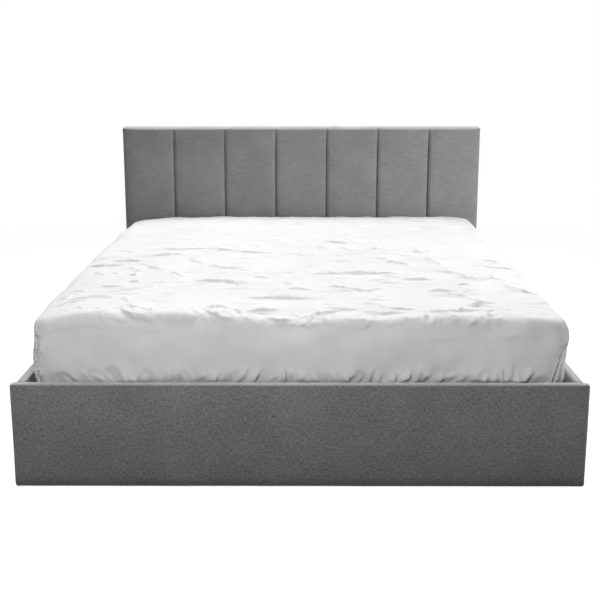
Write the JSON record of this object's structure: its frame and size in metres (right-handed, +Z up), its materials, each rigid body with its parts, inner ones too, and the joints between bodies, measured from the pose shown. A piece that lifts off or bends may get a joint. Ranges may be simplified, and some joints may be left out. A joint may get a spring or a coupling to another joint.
{
  "type": "upholstered storage bed",
  "caption": "Double bed with fabric-covered panels, a headboard with upright padded channels, and a slatted platform that lifts over a storage base.",
  "frame": {"origin": "the middle of the bed's footprint, on the floor", "axes": "+X to the right as seen from the foot end, +Y from the foot end to the headboard, +Z up"},
  "size_m": [1.72, 2.15, 0.95],
  "materials": {
    "cover_fabric": "woven, heathered mid grey",
    "sheet_fabric": "smooth white cotton",
    "foam": "open-cell foam",
    "mattress": "quilted ticking",
    "dust_cloth": "black non-woven cloth",
    "webbing": "black woven webbing",
    "panel_board": "raw board",
    "slat_wood": "laminated birch",
    "black_steel": "black powder coat",
    "zinc_steel": "zinc plated",
    "black_plastic": "black moulded"
  },
  "bodies": {
    "frame": {"front_panel_board": "panel_board", "front_panel_foam": "foam", "front_panel_cover": "cover_fabric", "side_rail_board_left": "panel_board", "side_rail_board_right": "panel_board", "side_rail_foam_left": "foam", "side_rail_foam_right": "foam", "side_rail_cover_left": "cover_fabric", "side_rail_cover_right": "cover_fabric", "headboard_board": "panel_board", "headboard_lower_board": "panel_board", "headboard_posts": "panel_board", "headboard_foam_pads": "foam", "headboard_cover": "cover_fabric", "headboard_back_cloth": "dust_cloth", "corner_brackets": "black_steel", "frame_screws": "zinc_steel", "glide_feet": "black_plastic", "storage_floor_left": "panel_board", "storage_floor_right": "panel_board", "floor_cleats": "panel_board", "floor_centre_batten": "panel_board", "base_plate_left": "black_steel", "base_plate_right": "black_steel", "base_pivot_pins": "zinc_steel", "strut_lower_studs": "zinc_steel", "support_blocks": "black_plastic"},
    "rear_arm_left": {"rear_arm_left": "black_steel", "rear_arm_bush_left": "zinc_steel"},
    "rear_arm_right": {"rear_arm_right": "black_steel", "rear_arm_bush_right": "zinc_steel"},
    "front_arm_left": {"front_arm_left": "black_steel", "front_arm_bush_left": "zinc_steel", "strut_upper_stud_left": "zinc_steel"},
    "front_arm_right": {"front_arm_right": "black_steel", "front_arm_bush_right": "zinc_steel", "strut_upper_stud_right": "zinc_steel"},
    "platform": {"platform_tube_left": "black_steel", "platform_tube_right": "black_steel", "platform_tube_head": "black_steel", "platform_tube_foot": "black_steel", "platform_centre_beam": "black_steel", "platform_cross_tubes": "black_steel", "platform_bracket_left": "black_steel", "platform_bracket_right": "black_steel", "platform_pivot_pins": "zinc_steel", "slats": "slat_wood", "slat_holders": "black_plastic", "mattress_stops": "black_steel", "pull_strap": "webbing"},
    "strut_cylinder_left": {"strut_cylinder_left": "black_steel"},
    "strut_cylinder_right": {"strut_cylinder_right": "black_steel"},
    "strut_rod_left": {"strut_rod_left": "zinc_steel"},
    "strut_rod_right": {"strut_rod_right": "zinc_steel"},
    "mattress": {"mattress_core": "mattress", "fitted_sheet": "sheet_fabric"}
  },
  "joints": [
    {"name": "lift", "type": "hinge", "parent": "frame", "child": "rear_arm_left", "pos_m": [-0.8045, 0.349, 0.19], "axis": [1, 0, 0], "range_deg": [0, 48]},
    {"name": "rear_arm_right_turn", "type": "hinge", "parent": "frame", "child": "rear_arm_right", "pos_m": [0.8045, 0.349, 0.19], "axis": [1, 0, 0], "range_deg": [0, 48.1]},
    {"name": "platform_tilt", "type": "hinge", "parent": "rear_arm_left", "child": "platform", "pos_m": [-0.8045, 0.465, 0.254], "axis": [1, 0, 0], "range_deg": [-78.1, 0]},
    {"name": "front_arm_left_turn", "type": "hinge", "parent": "frame", "child": "front_arm_left", "pos_m": [-0.8045, -0.036, 0.085], "axis": [1, 0, 0], "range_deg": [0, 22.6]},
    {"name": "front_arm_right_turn", "type": "hinge", "parent": "frame", "child": "front_arm_right", "pos_m": [0.8045, -0.036, 0.085], "axis": [1, 0, 0], "range_deg": [0, 22.6]},
    {"name": "strut_left_turn", "type": "hinge", "parent": "frame", "child": "strut_cylinder_left", "pos_m": [-0.78, 0.429, 0.065], "axis": [1, 0, 0], "range_deg": [-7.9, 0]},
    {"name": "strut_right_turn", "type": "hinge", "parent": "frame", "child": "strut_cylinder_right", "pos_m": [0.78, 0.429, 0.065], "axis": [1, 0, 0], "range_deg": [-7.9, 0]},
    {"name": "strut_left_slide", "type": "slide", "parent": "strut_cylinder_left", "child": "strut_rod_left", "axis": [0, -0.8905, 0.455], "range_m": [0, 0.0871]},
    {"name": "strut_right_slide", "type": "slide", "parent": "strut_cylinder_right", "child": "strut_rod_right", "axis": [0, -0.8905, 0.455], "range_m": [0, 0.0871]},
    {"name": "mattress_lift_off", "type": "slide", "parent": "platform", "child": "mattress", "axis": [0, 0, 1], "range_m": [0, 0.075]}
  ],
  "couplings": [
    {"joint": "rear_arm_right_turn", "follows": "lift", "ratio": 1},
    {"joint": "platform_tilt", "follows": "lift", "ratio": -1.625},
    {"joint": "front_arm_left_turn", "follows": "lift", "ratio": 0.46875},
    {"joint": "front_arm_right_turn", "follows": "lift", "ratio": 0.46875},
    {"joint": "strut_left_turn", "follows": "lift", "ratio": -0.16319},
    {"joint": "strut_right_turn", "follows": "lift", "ratio": -0.16319},
    {"joint": "strut_left_slide", "follows": "lift", "m_per_rad": 0.10373},
    {"joint": "strut_right_slide", "follows": "lift", "m_per_rad": 0.10373}
  ]
}
